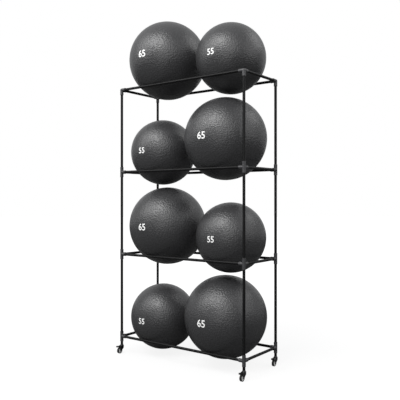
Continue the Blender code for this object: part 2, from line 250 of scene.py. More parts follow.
def blend_colours(tree, share, below, above):
    mix = node_on(tree, "ShaderNodeMix", {0: share, 6: below, 7: above}, data_type="RGBA")
    return mix.outputs[2]


def finish(name, colour, rubbed_colour, roughness, grain, rubbing, dust, specular=0.5, metallic=0.0):
    """A material from the three effects. grain is (scale, depth, cloud scale, cloud share), rubbing is
    (patch scale, scuff scale, scuffs), dust is (amount, scale) and roughness is (smoothest, roughest)."""
    material = bpy.data.materials.new(name)
    material.use_nodes = True
    tree = material.node_tree
    shader = tree.nodes["Principled BSDF"]
    shader.inputs["Specular IOR Level"].default_value = specular
    shader.inputs["Metallic"].default_value = metallic
    grain_scale, grain_depth, cloud_scale, cloud_share = grain
    skin = effect_on(tree, GRAIN, {"Grain Scale": grain_scale, "Cloud Scale": cloud_scale})
    worn = effect_on(tree, RUBBING, dict(zip(("Patch Scale", "Scuff Scale", "Scuffs"), rubbing)))
    dusty = effect_on(tree, DUST, dict(zip(("Dust", "Dust Scale"), dust)))
    dark = (*(part * (1 - cloud_share) for part in colour), 1)
    light = (*(part * (1 + cloud_share) for part in colour), 1)
    base = blend_colours(tree, skin.outputs["Clouds"], dark, light)
    base = blend_colours(tree, worn.outputs["Rubbed"], base, (*rubbed_colour, 1))
    base = blend_colours(tree, dusty.outputs["Dusty"], base, DUST_GREY)
    tree.links.new(base, shader.inputs["Base Color"])
    gloss = ramp_on(tree, skin.outputs["Clouds"], 0.3, 0.7, roughness)
    tree.links.new(math_on(tree, "ADD", gloss, dusty.outputs["Dusty"]), shader.inputs["Roughness"])
    relief = node_on(
        tree, "ShaderNodeBump", {"Strength": 1.0, "Distance": grain_depth, "Height": skin.outputs["Relief"]}
    )
    tree.links.new(relief.outputs["Normal"], shader.inputs["Normal"])
    return material


def tube_ends(node):
    """The two ends of a tube's axis, and its diameter, from the box of its CAD node."""
    low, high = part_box(node)
    size = high - low
    along = max(range(3), key=lambda axis: size[axis])
    start, end = (low + high) / 2, (low + high) / 2
    start[along], end[along] = low[along], high[along]
    return start, end, min(size)


powder_coat = finish(
    "black_powder_coat",
    colour=(0.0035, 0.0035, 0.0037),
    rubbed_colour=(0.016, 0.016, 0.017),
    roughness=(0.34, 0.44),
    grain=(620.0, 0.00004, 7.0, 0.25),
    rubbing=(70.0, 16.0, 0.05),
    dust=(0.03, 20.0),
    specular=0.16,
)
tubes = tube_tree()
RAIL_PLACES = ("front", "back", "left", "right")
tube_nodes = [f"upright_{corner}" for corner in CORNERS]
tube_nodes += [f"rail_{side}_{tier}" for tier in range(1, TIERS + 1) for side in RAIL_PLACES]
for node in tube_nodes:
    start, end, diameter = tube_ends(node)
    sizes = {"Start": start, "End": end, "Diameter": diameter, "Wall": TUBE_WALL, "Rim": TUBE_RIM}
    sizes.update({"Sides": TUBE_SIDES, "Rim Steps": RIM_STEPS, "Finish": powder_coat})
    fitted(grown(f"tube_{node}", tubes, sizes), "frame", [node])

# Connectors
# Sixteen slip-on corner joints, moulded in one piece from black nylon, with soft fillets where the sockets
# meet and a bead round each mouth. Twelve let the upright pass, and the four at the top end in a dome.
CONNECTOR_SIDES = 32  # a multiple of 8, so that the seams between the sockets fall on the grid
CONNECTOR_R = 0.0138
FILLET = 0.0028
BEAD_WIDTH = 0.0050
BEAD_PROUD = 0.0004
MOUTH_ROUND = 0.0009
FIT_GAP = 0.0003  # between a tube and its socket
MERGED = 0.000001  # how near two corners of a mesh lie before they become one
SEAM_MERGED = 0.00001
CREASE = math.radians(40)  # the least turn from face to face that is drawn as a sharp edge
LEFT, RIGHT, FRONT, BACK, DOWN, UP = (
    Vector(way) for way in ((-1, 0, 0), (1, 0, 0), (0, -1, 0), (0, 1, 0), (0, 0, -1), (0, 0, 1))
)
SPLINE_SHRINK = (2 + math.cos(2 * math.pi / CONNECTOR_SIDES)) / 3  # how much subdivision draws a ring in


def socket_profile(seam, reach, bore, bore_end):
    """One line along a socket, from the seam with its neighbours out to the mouth and back down the bore."""
    start_of_bead = reach - BEAD_WIDTH
    plain = start_of_bead - FILLET / 2
    between = [seam + FILLET + (plain - seam - FILLET) * share for share in (0.33, 0.67)]
    bead = CONNECTOR_R + BEAD_PROUD
    return [
        (seam, CONNECTOR_R),
        (seam + FILLET, CONNECTOR_R),
        *((along, CONNECTOR_R) for along in between),
        (plain, CONNECTOR_R),
        (start_of_bead, bead),
        (reach - 2 * MOUTH_ROUND, bead),
        (reach - MOUTH_ROUND / 3, bead),
        (reach, bead - MOUTH_ROUND),
        (reach, bore + MOUTH_ROUND / 2),
        (reach - MOUTH_ROUND / 2, bore),
        (reach - 3 * MOUTH_ROUND, bore),
        (bore_end + MOUTH_ROUND, bore),
        (bore_end, bore),
    ]


def add_socket(bm, way, neighbours, reach, bore, bore_end):
    """A socket along one way. Its skin starts where it meets its neighbours, and a blind bore has a floor."""
    side = way.orthogonal().normalized()
    other = way.cross(side)
    columns = []
    for step in range(CONNECTOR_SIDES):
        turn = 2 * math.pi * step / CONNECTOR_SIDES
        out = side * math.cos(turn) + other * math.sin(turn)
        seam = CONNECTOR_R / SPLINE_SHRINK * max(0.0, *(out.dot(neighbour) for neighbour in neighbours))
        line = socket_profile(seam, reach, bore, bore_end)
        columns.append([bm.verts.new(way * along + out * radius / SPLINE_SHRINK) for along, radius in line])
    for column, following in zip(columns, columns[1:] + columns[:1]):
        for row in range(len(column) - 1):
            bm.faces.new((column[row], column[row + 1], following[row + 1], following[row]))
    if bore_end:
        bm.faces.new([column[-1] for column in columns])


def add_dome(bm):
    """An eighth of a sphere, which closes the corner that faces left, front and up."""
    steps = CONNECTOR_SIDES // 4
    radius = CONNECTOR_R / SPLINE_SHRINK

    def point(rise, turn):
        flat = LEFT * math.cos(turn) + FRONT * math.sin(turn)
        return radius * (flat * math.sin(rise) + UP * math.cos(rise))

    quarter = [math.pi / 2 * step / steps for step in range(steps + 1)]
    rows = [[bm.verts.new(point(rise, turn)) for turn in quarter] for rise in quarter]
    for row, following in zip(rows, rows[1:]):
        for step in range(steps):
            bm.faces.new((row[step], following[step], following[step + 1], row[step + 1]))


def mesh_of(bm, name, merged=MERGED):
    """The mesh of bm, joined up, with its normals outward and smooth shading."""
    bmesh.ops.remove_doubles(bm, verts=bm.verts, dist=merged)
    bmesh.ops.recalc_face_normals(bm, faces=bm.faces)
    mesh = bpy.data.meshes.new(name)
    bm.to_mesh(mesh)
    bm.free()
    mesh.shade_smooth()
    return mesh


def connector_mesh(ways, reach, bore, floor, domed):
    bm = bmesh.new()
    for way in ways:
        passes = -way in ways
        neighbours = [other for other in ways if abs(other.dot(way)) < 0.5]
        add_socket(bm, way, neighbours, reach, bore, 0.0 if passes else floor)
    if domed:
        add_dome(bm)
    return mesh_of(bm, "connector", SEAM_MERGED)


nylon = finish(
    "black_nylon",
    colour=(0.030, 0.030, 0.032),
    rubbed_colour=(0.085, 0.085, 0.088),
    roughness=(0.36, 0.50),
    grain=(1500.0, 0.00005, 18.0, 0.2),
    rubbing=(120.0, 40.0, 0.2),
    dust=(0.10, 30.0),
)


def placed_copy(name, mesh, place, material):
    """An object whose copy of the mesh has been carried to its place."""
    own = mesh.copy()
    own.transform(place)
    own.materials.clear()
    own.materials.append(material)
    piece = bpy.data.objects.new(name, own)
    bpy.context.scene.collection.objects.link(piece)
    return piece


upright_start, _, tube_diameter = tube_ends("upright_front_left")
rail_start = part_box("rail_front_1")[0]
socket_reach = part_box("connector_front_left_1")[1].x - upright_start.x
bore_r = tube_diameter / 2 + FIT_GAP
socket_floor = rail_start.x - upright_start.x - FIT_GAP
through = connector_mesh((RIGHT, BACK, UP, DOWN), socket_reach, bore_r, socket_floor, domed=False)
top_corner = connector_mesh((RIGHT, BACK, DOWN), socket_reach, bore_r, socket_floor, domed=True)
for quarter, corner in enumerate(CORNERS):
    foot, _, _ = tube_ends(f"upright_{corner}")
    for tier in range(1, TIERS + 1):
        node = f"connector_{corner}_{tier}"
        height = tube_ends(f"rail_front_{tier}")[0].z
        place = Matrix.Translation((foot.x, foot.y, height)) @ Matrix.Rotation(quarter * math.pi / 2, 4, "Z")
        piece = placed_copy(f"moulded_{node}", top_corner if tier == TIERS else through, place, nylon)
        subdivision = piece.modifiers.new("moulded_fillets", "SUBSURF")
        subdivision.levels = subdivision.render_levels = 1
        fitted(piece, "frame", [node])

# Caster stems
# A turned steel stem in each upright's foot: a plug, a tapered collar that the tube stands on, and the
# kingpin with the head that carries the fork. It is blacked with the fork.
LATHE_SIDES = 40
ROUND_STEPS = 4
FORK_TOP = joints["swivel_front_left"]["pos_m"][2]
KINGPIN_R = 0.0050
KINGPIN_HEAD_R = 0.0070
KINGPIN_HEAD = 0.0025
CROWN_PLATE = 0.0030
COLLAR_R = 0.0120
COLLAR_RISE = 0.0060
PLUG_R = tube_diameter / 2 - TUBE_WALL - FIT_GAP


def rounded(corners, closed=False):
    """A profile of (radius, along), from one of (radius, along, rounding), with its corners eased."""
    points = []
    for place, (radius, along, rounding) in enumerate(corners):
        at_end = not closed and place in (0, len(corners) - 1)
        corner = Vector((radius, along))
        if at_end or not rounding:
            points.append(corner)
            continue
        before = Vector(corners[place - 1][:2]) - corner
        after = Vector(corners[(place + 1) % len(corners)][:2]) - corner
        start = corner + before.normalized() * min(rounding, before.length / 2)
        end = corner + after.normalized() * min(rounding, after.length / 2)
        for step in range(ROUND_STEPS + 1):
            share = step / ROUND_STEPS
            points.append(start.lerp(corner, share).lerp(corner.lerp(end, share), share))
    return [tuple(point) for point in points]


def lathe(bm, profile, axis="Z", closed=False, sides=LATHE_SIDES):
    """Turns a profile of (radius, along) about an axis. Points on the axis become one vertex."""
    turn_to_axis = UP.rotation_difference(RIGHT if axis == "X" else UP).to_matrix()
    rings = []
    for radius, along in profile:
        around = sides if radius > MERGED else 1
        turns = [2 * math.pi * step / sides for step in range(around)]
        ring = [Vector((radius * math.cos(turn), radius * math.sin(turn), along)) for turn in turns]
        rings.append([bm.verts.new(turn_to_axis @ point) for point in ring])
    pairs = list(zip(rings, rings[1:]))
    if closed:
        pairs.append((rings[-1], rings[0]))
    for ring, following in pairs:
        for step in range(sides):
            corners = [ring[step % len(ring)], ring[(step + 1) % len(ring)]]
            corners += [following[(step + 1) % len(following)], following[step % len(following)]]
            bm.faces.new(list(dict.fromkeys(corners)))


def turned(name, profile, axis="Z", closed=False, sides=LATHE_SIDES):
    """A mesh turned on a lathe, from a profile of (radius, along, rounding)."""
    bm = bmesh.new()
    lathe(bm, rounded(profile, closed), axis, closed, sides)
    return mesh_of(bm, name)


def stem_mesh():
    head_top = FORK_TOP - CROWN_PLATE - FIT_GAP
    collar = FORK_TOP + FIT_GAP
    shoulder = collar + COLLAR_RISE
    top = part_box("caster_stem_front_left")[1].z
    profile = [
        (0, head_top - KINGPIN_HEAD, 0),
        (KINGPIN_HEAD_R, head_top - KINGPIN_HEAD, 0.0012),
        (KINGPIN_HEAD_R, head_top, 0.0003),
        (KINGPIN_R, head_top, 0),
        (KINGPIN_R, collar, 0),
        (COLLAR_R, collar, 0.0008),
        (COLLAR_R, collar + COLLAR_RISE / 4, 0.0008),
        (tube_diameter / 2, shoulder, 0.0005),
        (PLUG_R, shoulder, 0.0002),
        (PLUG_R, top, 0.0020),
        (0, top, 0),
    ]
    return turned("stem", profile)


blacked_steel = finish(
    "blacked_steel",
    colour=(0.006, 0.006, 0.0065),
    rubbed_colour=(0.07, 0.07, 0.07),
    roughness=(0.26, 0.40),
    grain=(1100.0, 0.00003, 40.0, 0.2),
    rubbing=(160.0, 60.0, 0.12),
    dust=(0.05, 60.0),
    specular=0.4,
)
turned_stem = stem_mesh()
corner_places = {}
for corner in CORNERS:
    x, y, _ = joints[f"swivel_{corner}"]["pos_m"]
    cosine, sine, _ = joints[f"wheel_spin_{corner}"]["axis"]
    turn = math.atan2(sine, cosine)
    corner_places[corner] = Matrix.Translation((x, y, 0)) @ Matrix.Rotation(turn, 4, "Z")
    piece = placed_copy(f"turned_stem_{corner}", turned_stem, Matrix.Translation((x, y, 0)), blacked_steel)
    fitted(piece, "frame", [f"caster_stem_{corner}"])

# Caster forks
# Each fork is pressed from sheet steel: a cupped crown that turns on the kingpin, and two cheeks that come
# forward to the axle. A rivet through both cheeks is the axle.
CROWN_R = 0.0165
CROWN_TOP_R = 0.0135
CROWN_DEPTH = 0.0085
CROWN_RIM = 0.0045
CHEEK = 0.0025
CHEEK_INSIDE = 0.0105
CHEEK_BACK_ROUND = 0.0050
CHEEK_BACK_CORNERS = ((0.0055, 0.0625), (0.0055, 0.0470))  # (back from the kingpin, above the floor)
PIN_BOSS_R = 0.0050
AXLE_BOSS_R = 0.0080
AXLE_R = 0.0030
PIN_R = 0.0020
RIVET_HEAD_R = 0.0044
RIVET_PROUD = 0.0012
SHEET_ROUND = 0.0006
kingpin_place = Vector(joints["swivel_front_left"]["pos_m"])
axle_place = Vector(joints["wheel_spin_front_left"]["pos_m"])
trail = (axle_place - kingpin_place).xy.length
axle_height = joints["wheel_spin_front_left"]["pos_m"][2]
pivot_height = joints["brake_front_left"]["pos_m"][2]
AXLE = Vector((0, -trail, axle_height))
PIVOT = Vector((0, -trail, pivot_height))


def outline_of_discs(discs, steps=64):
    """The line of a belt drawn tight round some discs of (across, up, radius)."""
    points = []
    for across, up, radius in discs:
        for step in range(steps):
            turn = 2 * math.pi * step / steps
            points.append((across + radius * math.cos(turn), up + radius * math.sin(turn)))
    return [points[place] for place in convex_hull_2d(points)]


def plate(name, discs, near, far, rounding):
    """A plate between two planes across X, with its outline drawn round some discs and its edges rounded."""
    outline = outline_of_discs(discs)
    bm = bmesh.new()
    front = [bm.verts.new((near, y, z)) for y, z in outline]
    back = [bm.verts.new((far, y, z)) for y, z in outline]
    faces = [bm.faces.new(front), bm.faces.new(back[::-1])]
    for place in range(len(outline)):
        after = (place + 1) % len(outline)
        bm.faces.new((front[place], back[place], back[after], front[after]))
    rims = [edge for face in faces for edge in face.edges]
    bmesh.ops.bevel(bm, geom=rims, offset=rounding, segments=3, profile=0.5, affect="EDGES")
    return mesh_of(bm, name)


def cheek_mesh(side):
    discs = [(back, up, CHEEK_BACK_ROUND) for back, up in CHEEK_BACK_CORNERS]
    discs += [(PIVOT.y, PIVOT.z, PIN_BOSS_R), (AXLE.y, AXLE.z, AXLE_BOSS_R)]
    return plate("cheek", discs, side * CHEEK_INSIDE, side * (CHEEK_INSIDE + CHEEK), SHEET_ROUND)


def crown_mesh():
    rim_low = FORK_TOP - CROWN_DEPTH
    plate_low = FORK_TOP - CROWN_PLATE
    hole = KINGPIN_R + FIT_GAP
    profile = [
        (hole, FORK_TOP, 0.0004),
        (CROWN_TOP_R, FORK_TOP, 0.0020),
        (CROWN_R, rim_low + CROWN_RIM, 0.0018),
        (CROWN_R, rim_low, 0.0008),
        (CROWN_R - CROWN_PLATE, rim_low, 0.0008),
        (CROWN_R - CROWN_PLATE, plate_low, 0.0020),
        (hole, plate_low, 0.0004),
    ]
    return turned("crown", profile, closed=True)


def worked(mesh, steps):
    """The mesh after each (operation, other mesh) of joining or cutting, one after the other."""
    for operation, other in steps:
        work = bpy.data.objects.new("work", mesh)
        tool = bpy.data.objects.new("tool", other)
        bpy.context.scene.collection.objects.link(work)
        bpy.context.scene.collection.objects.link(tool)
        boolean = work.modifiers.new(operation, "BOOLEAN")
        boolean.operation = operation
        boolean.object = tool
        mesh = bpy.data.meshes.new_from_object(work.evaluated_get(bpy.context.evaluated_depsgraph_get()))
        bpy.data.objects.remove(work)
        bpy.data.objects.remove(tool)
    return mesh


def both_sides(half):
    """A profile's half, with its mirror image after it."""
    return half + [(radius, -along, rounding) for radius, along, rounding in reversed(half)]


def rod_mesh(radius, half_length, centre):
    bm = bmesh.new()
    lathe(bm, [(0, -half_length), (radius, -half_length), (radius, half_length), (0, half_length)], "X")
    mesh = mesh_of(bm, "rod")
    mesh.transform(Matrix.Translation(centre))
    return mesh


def fork_mesh():
    outside = CHEEK_INSIDE + CHEEK + SHEET_ROUND
    return worked(
        crown_mesh(),
        [
            ("UNION", cheek_mesh(-1)),
            ("UNION", cheek_mesh(1)),
            ("DIFFERENCE", rod_mesh(AXLE_R + FIT_GAP / 2, outside, AXLE)),
            ("DIFFERENCE", rod_mesh(PIN_R + FIT_GAP, outside, PIVOT)),
        ],
    )


def rivet_mesh():
    """The axle: a rod with a domed head pressed on outside each cheek."""
    cheek = CHEEK_INSIDE + CHEEK
    half = [
        (0, cheek + RIVET_PROUD, 0),
        (RIVET_HEAD_R * 0.6, cheek + RIVET_PROUD, 0.0010),
        (RIVET_HEAD_R, cheek + RIVET_PROUD / 3, 0.0004),
        (RIVET_HEAD_R, cheek + 0.0001, 0),
        (AXLE_R, cheek + 0.0001, 0),
    ]
    mesh = turned("rivet", both_sides(half), "X")
    mesh.transform(Matrix.Translation(AXLE))
    return mesh


bright_rivet = finish(
    "zinc_plated_steel",
    colour=(0.42, 0.42, 0.43),
    rubbed_colour=(0.60, 0.60, 0.60),
    roughness=(0.28, 0.42),
    grain=(1400.0, 0.00002, 90.0, 0.2),
    rubbing=(200.0, 90.0, 0.2),
    dust=(0.05, 60.0),
    metallic=0.9,
)
pressed_fork, axle_rivet = fork_mesh(), rivet_mesh()
for corner, place in corner_places.items():
    fork = placed_copy(f"pressed_fork_{corner}", pressed_fork, place, blacked_steel)
    fork.data.set_sharp_from_angle(angle=CREASE)
    fitted(fork, f"swivel_{corner}", [f"caster_fork_{corner}"])
    fitted(placed_copy(f"axle_rivet_{corner}", axle_rivet, place, bright_rivet), f"swivel_{corner}")

# Caster wheels
# A black rubber tyre moulded round an off-white hub. The hub's face rises from its rim to the boss that
# runs on the axle, with a shallow dished web and eight low ribs between them.
HUB_R = 0.0180
HUB_RIM = 0.0016
HUB_HALF_WIDTH = 0.0083
WEB_HALF = 0.0072
WEB_HALF_AT_BOSS = 0.0088
BOSS_R = 0.0060
BOSS_HALF = 0.0102
TYRE_HALF_WIDTH = 0.0090
TYRE_ROUND = 0.0040
WHEEL_SIDES = 64
HUB_RIBS = 8
RIB_THICK = 0.0012


def tyre_mesh():
    wheel_r = axle_height
    half = [
        (HUB_R, HUB_HALF_WIDTH - 0.0008, 0),
        (HUB_R + 0.0006, HUB_HALF_WIDTH + 0.0006, 0.0004),
        (HUB_R + 0.0030, TYRE_HALF_WIDTH, 0.0010),
        (wheel_r - 0.0002, TYRE_HALF_WIDTH, TYRE_ROUND),
        (wheel_r, 0.0020, 0.0020),
    ]
    return turned("tyre", both_sides(half), "X", closed=True, sides=WHEEL_SIDES)


def hub_mesh():
    half = [
        (AXLE_R + FIT_GAP, BOSS_HALF, 0.0003),
        (BOSS_R, BOSS_HALF, 0.0006),
        (BOSS_R + 0.0003, WEB_HALF_AT_BOSS, 0.0006),
        (HUB_R - HUB_RIM - 0.0003, WEB_HALF, 0.0006),
        (HUB_R - HUB_RIM, HUB_HALF_WIDTH, 0.0004),
        (HUB_R - 0.0001, HUB_HALF_WIDTH, 0.0003),
    ]
    return turned("hub", both_sides(half), "X", closed=True, sides=WHEEL_SIDES)


def hub_rib_tree():
    """Joins ribs to a turned hub. They stand like spokes about X, between the boss and the rim."""
    sizes = {"Ribs": "Int", "Inner Radius": "Float", "Outer Radius": "Float"}
    sizes.update({"Thickness": "Float", "Width": "Float", "Finish": "Material"})
    tree, given = start_shape_tree("hub_ribs", sizes)
    radii = math_on(tree, "ADD", given["Outer Radius"], given["Inner Radius"])
    length = math_on(tree, "SUBTRACT", given["Outer Radius"], given["Inner Radius"])
    middle = math_on(tree, "MULTIPLY", radii, 0.5)
    circle = node_on(tree, "GeometryNodeMeshCircle", {"Vertices": given["Ribs"], "Radius": middle})
    place = tree.nodes.new("GeometryNodeInputPosition")
    outward = node_on(tree, "FunctionNodeAlignRotationToVector", {"Vector": place.outputs[0]}, axis="X")
    rib_size = node_on(
        tree, "ShaderNodeCombineXYZ", {"X": length, "Y": given["Thickness"], "Z": given["Width"]}
    )
    rib = node_on(tree, "GeometryNodeMeshCube", {"Size": rib_size.outputs[0]})
    ribs = node_on(
        tree,
        "GeometryNodeInstanceOnPoints",
        {"Points": circle.outputs[0], "Instance": rib.outputs[0], "Rotation": outward.outputs[0]},
    )
    upright = node_on(
        tree, "GeometryNodeTransform", {"Geometry": ribs.outputs[0], "Rotation": (0, math.pi / 2, 0)}
    )
    real = node_on(tree, "GeometryNodeRealizeInstances", {"Geometry": upright.outputs[0]})
    hub = node_on(tree, "GeometryNodeMeshBoolean", operation="UNION", solver="EXACT")
    tree.links.new(given["Geometry"], hub.inputs["Mesh 2"])
    tree.links.new(real.outputs[0], hub.inputs["Mesh 2"])
    return end_shape_tree(tree, hub.outputs[0], given["Finish"])


tyre_rubber = finish(
    "black_tyre_rubber",
    colour=(0.007, 0.007, 0.0075),
    rubbed_colour=(0.020, 0.020, 0.019),
    roughness=(0.52, 0.66),
    grain=(1300.0, 0.00006, 60.0, 0.25),
    rubbing=(140.0, 70.0, 0.4),
    dust=(0.08, 90.0),
    specular=0.3,
)
hub_plastic = finish(
    "off_white_hub",
    colour=(0.80, 0.80, 0.79),
    rubbed_colour=(0.60, 0.59, 0.58),
    roughness=(0.34, 0.46),
    grain=(1500.0, 0.00003, 70.0, 0.05),
    rubbing=(150.0, 80.0, 0.15),
    dust=(0.06, 90.0),
)
ribbed = grown(
    "ribbed_hub",
    hub_rib_tree(),
    {
        "Ribs": HUB_RIBS,
        "Inner Radius": BOSS_R - 0.0010,
        "Outer Radius": HUB_R - HUB_RIM / 2,
        "Thickness": RIB_THICK,
        "Width": 2 * (HUB_HALF_WIDTH - 0.0001),
        "Finish": hub_plastic,
    },
    hub_mesh(),
)
ribbed_hub = ribbed.data
bpy.data.objects.remove(ribbed)
moulded_tyre = tyre_mesh()
for corner, place in corner_places.items():
    at_axle = place @ Matrix.Translation(AXLE)
    tyre = placed_copy(f"rubber_tyre_{corner}", moulded_tyre, at_axle, tyre_rubber)
    fitted(tyre, f"wheel_{corner}", [f"caster_wheel_{corner}"])
    hub = placed_copy(f"moulded_hub_{corner}", ribbed_hub, at_axle, hub_plastic)
    hub.data.shade_smooth()
    hub.data.set_sharp_from_angle(angle=CREASE)
    fitted(hub, f"wheel_{corner}")

# Brake pedals
# A moulded black foot pedal on a pin through the cheeks. Its tread plate reaches forward over the wheel, with
# cross ribs and a lip that turns down at the tip. Its cam presses on the tyre when the pedal goes down.
PEDAL_HUB_R = 0.0040
PEDAL_HUB_HALF = 0.0102
PEDAL_HALF_WIDTH = 0.0075
PEDAL_THICK = 0.0050
PEDAL_TIP = Vector((0, -0.0330, 0.0075))
PEDAL_LIP = 0.0115  # from its top to its lower edge
PEDAL_LIP_THICK = 0.0040
LIP_INSET = 0.0002  # keeps its faces off the plate's, so that the two join cleanly
PEDAL_ROUND = 0.0010
CAM_HALF_WIDTH = 0.0055
CAM_NOSE_R = 0.0010
CAM_TURN = math.radians(15)
TREAD_RIBS = 6
TREAD_RIB_R = 0.0005
TREAD_RIB_PITCH = 0.0026
SLIVER = 0.00001


def pedal_mesh():
    tip = PEDAL_TIP
    low = PEDAL_THICK / 2
    discs = [(0, low, low), (tip.y, tip.z, low)]
    tread = plate("tread", discs, -PEDAL_HALF_WIDTH, PEDAL_HALF_WIDTH, PEDAL_ROUND)
    lip_r = PEDAL_LIP_THICK / 2
    lip_y = tip.y - low + lip_r
    lip_half = PEDAL_HALF_WIDTH - LIP_INSET
    discs = [(tip.y, tip.z, low - LIP_INSET), (lip_y, tip.z + low - PEDAL_LIP + lip_r, lip_r)]
    lip = plate("lip", discs, -lip_half, lip_half, PEDAL_ROUND)
    nose = pivot_height - 2 * axle_height - FIT_GAP - CAM_NOSE_R
    discs = [(0, 0, PEDAL_HUB_R - CAM_NOSE_R)]
    discs += [(-nose * math.sin(CAM_TURN), -nose * math.cos(CAM_TURN), CAM_NOSE_R)]
    cam = plate("cam", discs, -CAM_HALF_WIDTH, CAM_HALF_WIDTH, CAM_NOSE_R / 3)
    end = [(0, -PEDAL_HUB_HALF, 0), (PEDAL_HUB_R, -PEDAL_HUB_HALF, 0.0006)]
    barrel = turned("barrel", both_sides(end), "X")
    pin = rod_mesh(PIN_R, CHEEK_INSIDE + CHEEK, (0, 0, 0))
    return worked(barrel, [("UNION", shape) for shape in (tread, lip, cam, pin)])


def without_slivers(mesh):
    """Splits a joined mesh into triangles and drops those of no width."""
    bm = bmesh.new()
    bm.from_mesh(mesh)
    bmesh.ops.remove_doubles(bm, verts=bm.verts, dist=SLIVER)
    bmesh.ops.triangulate(bm, faces=bm.faces, quad_method="BEAUTY", ngon_method="BEAUTY")
    bmesh.ops.dissolve_degenerate(bm, edges=bm.edges, dist=SLIVER)
    bmesh.ops.triangulate(bm, faces=bm.faces, quad_method="BEAUTY", ngon_method="BEAUTY")
    bm.to_mesh(mesh)
    bm.free()


def tread_rib_tree():
    """Joins a row of round cross ribs to a pedal, from Start, one pitch apart."""
    sizes = {"Ribs": "Int", "Start": "Vector", "Pitch": "Vector", "Radius": "Float", "Width": "Float"}
    tree, given = start_shape_tree("tread_ribs", {**sizes, "Finish": "Material"})
    row = node_on(
        tree,
        "GeometryNodeMeshLine",
        {"Count": given["Ribs"], "Start Location": given["Start"], "Offset": given["Pitch"]},
        mode="OFFSET",
    )
    bar = node_on(
        tree,
        "GeometryNodeMeshCylinder",
        {"Vertices": 12, "Radius": given["Radius"], "Depth": given["Width"]},
    )
    across = node_on(
        tree, "GeometryNodeTransform", {"Geometry": bar.outputs[0], "Rotation": (0, math.pi / 2, 0)}
    )
    ribs = node_on(
        tree, "GeometryNodeInstanceOnPoints", {"Points": row.outputs[0], "Instance": across.outputs[0]}
    )
    real = node_on(tree, "GeometryNodeRealizeInstances", {"Geometry": ribs.outputs[0]})
    pedal = node_on(tree, "GeometryNodeMeshBoolean", operation="UNION", solver="EXACT")
    tree.links.new(given["Geometry"], pedal.inputs["Mesh 2"])
    tree.links.new(real.outputs[0], pedal.inputs["Mesh 2"])
    return end_shape_tree(tree, pedal.outputs[0], given["Finish"])


pedal_plastic = finish(
    "black_pedal_plastic",
    colour=(0.008, 0.008, 0.0085),
    rubbed_colour=(0.026, 0.026, 0.026),
    roughness=(0.40, 0.54),
    grain=(1500.0, 0.00005, 60.0, 0.2),
    rubbing=(120.0, 60.0, 0.3),
    dust=(0.05, 70.0),
    specular=0.3,
)
along_plate = (PEDAL_TIP - Vector((0, 0, PEDAL_THICK / 2))).normalized()
rib_start = PEDAL_TIP + Vector((0, along_plate.z, -along_plate.y)) * PEDAL_THICK / 2 - along_plate * 0.0010
treaded = grown(
    "treaded_pedal",
    tread_rib_tree(),
    {
        "Ribs": TREAD_RIBS,
        "Start": rib_start,
        "Pitch": -along_plate * TREAD_RIB_PITCH,
        "Radius": TREAD_RIB_R,
        "Width": 1.6 * PEDAL_HALF_WIDTH,
        "Finish": pedal_plastic,
    },
    pedal_mesh(),
)
treaded_pedal = treaded.data
bpy.data.objects.remove(treaded)
without_slivers(treaded_pedal)
for corner, place in corner_places.items():
    at_pivot = place @ Matrix.Translation(PIVOT)
    pedal = placed_copy(f"brake_lever_{corner}", treaded_pedal, at_pivot, pedal_plastic)
    pedal.data.shade_smooth()
    pedal.data.set_sharp_from_angle(angle=CREASE)
    fitted(pedal, f"pedal_{corner}", [f"caster_pedal_{corner}"])

# Exercise balls
# Eight inflated balls of charcoal vinyl, 650 and 550 mm across, moulded in one piece with a fine pebbled
# skin, a faint parting ridge round the middle, and a valve in a dish at one pole. They lie on two rails.
BALL_STEPS = 128
BALL_RINGS = 64
RIDGE_HALF = 0.0016
RIDGE_PROUD = 0.0003
DISH_R = 0.0110
DISH_DEPTH = 0.0020
PLUG_HEAD_R = 0.0060
PEBBLES_PER_METRE = 76.0
PEBBLE_SCATTER = 0.7  # from 0, in straight rows, to 1
PEBBLE_EDGE = 0.78  # how far from its middle a pebble ends, in pebbles
PEBBLE_DEPTH = 0.0013
# Painted shade: the grooves between the pebbles are coloured darker than the pebbles.
GROOVE_PAINTED_SHADE = (0.031, 0.031, 0.032, 1)


def ball_mesh(radius):
    """A ball turned about X. Its valve dish is at the -X pole, and a low ridge runs round the middle."""
    dish_turn = DISH_R / radius
    dish = [
        (0, DISH_DEPTH - radius, 0),
        (DISH_R - 0.0022, DISH_DEPTH - radius, 0.0008),
        (DISH_R - 0.0012, 0.0006 - radius, 0.0010),
        (radius * math.sin(dish_turn), -radius * math.cos(dish_turn), 0),
    ]
    turns = [dish_turn + (math.pi - dish_turn) * ring / BALL_RINGS for ring in range(1, BALL_RINGS + 1)]
    turns = [turn for turn in turns if abs(turn - math.pi / 2) * radius > 2 * RIDGE_HALF]
    skin = [(radius * math.sin(turn), -radius * math.cos(turn)) for turn in turns]
    edge = math.sqrt(radius**2 - RIDGE_HALF**2)
    ridge = [(edge, -RIDGE_HALF), (radius + RIDGE_PROUD, -RIDGE_HALF / 3)]
    ridge += [(radius + RIDGE_PROUD, RIDGE_HALF / 3), (edge, RIDGE_HALF)]
    profile = sorted(skin + ridge, key=lambda point: point[1])
    bm = bmesh.new()
    lathe(bm, rounded(dish) + profile, "X", sides=BALL_STEPS)
    return mesh_of(bm, "ball")


def plug_mesh():
    """The valve's plug: a flat round head with a hollow to grip it by, seated in the dish."""
    profile = [
        (0, 0.0001, 0),
        (PLUG_HEAD_R, 0.0001, 0.0003),
        (PLUG_HEAD_R, DISH_DEPTH * 0.6, 0.0004),
        (PLUG_HEAD_R * 0.55, DISH_DEPTH * 0.6, 0.0003),
        (PLUG_HEAD_R * 0.45, DISH_DEPTH * 0.35, 0.0003),
        (0, DISH_DEPTH * 0.35, 0),
    ]
    mesh = turned("plug", profile)
    mesh.transform(Matrix.Rotation(-math.pi / 2, 4, "Y"))
    return mesh


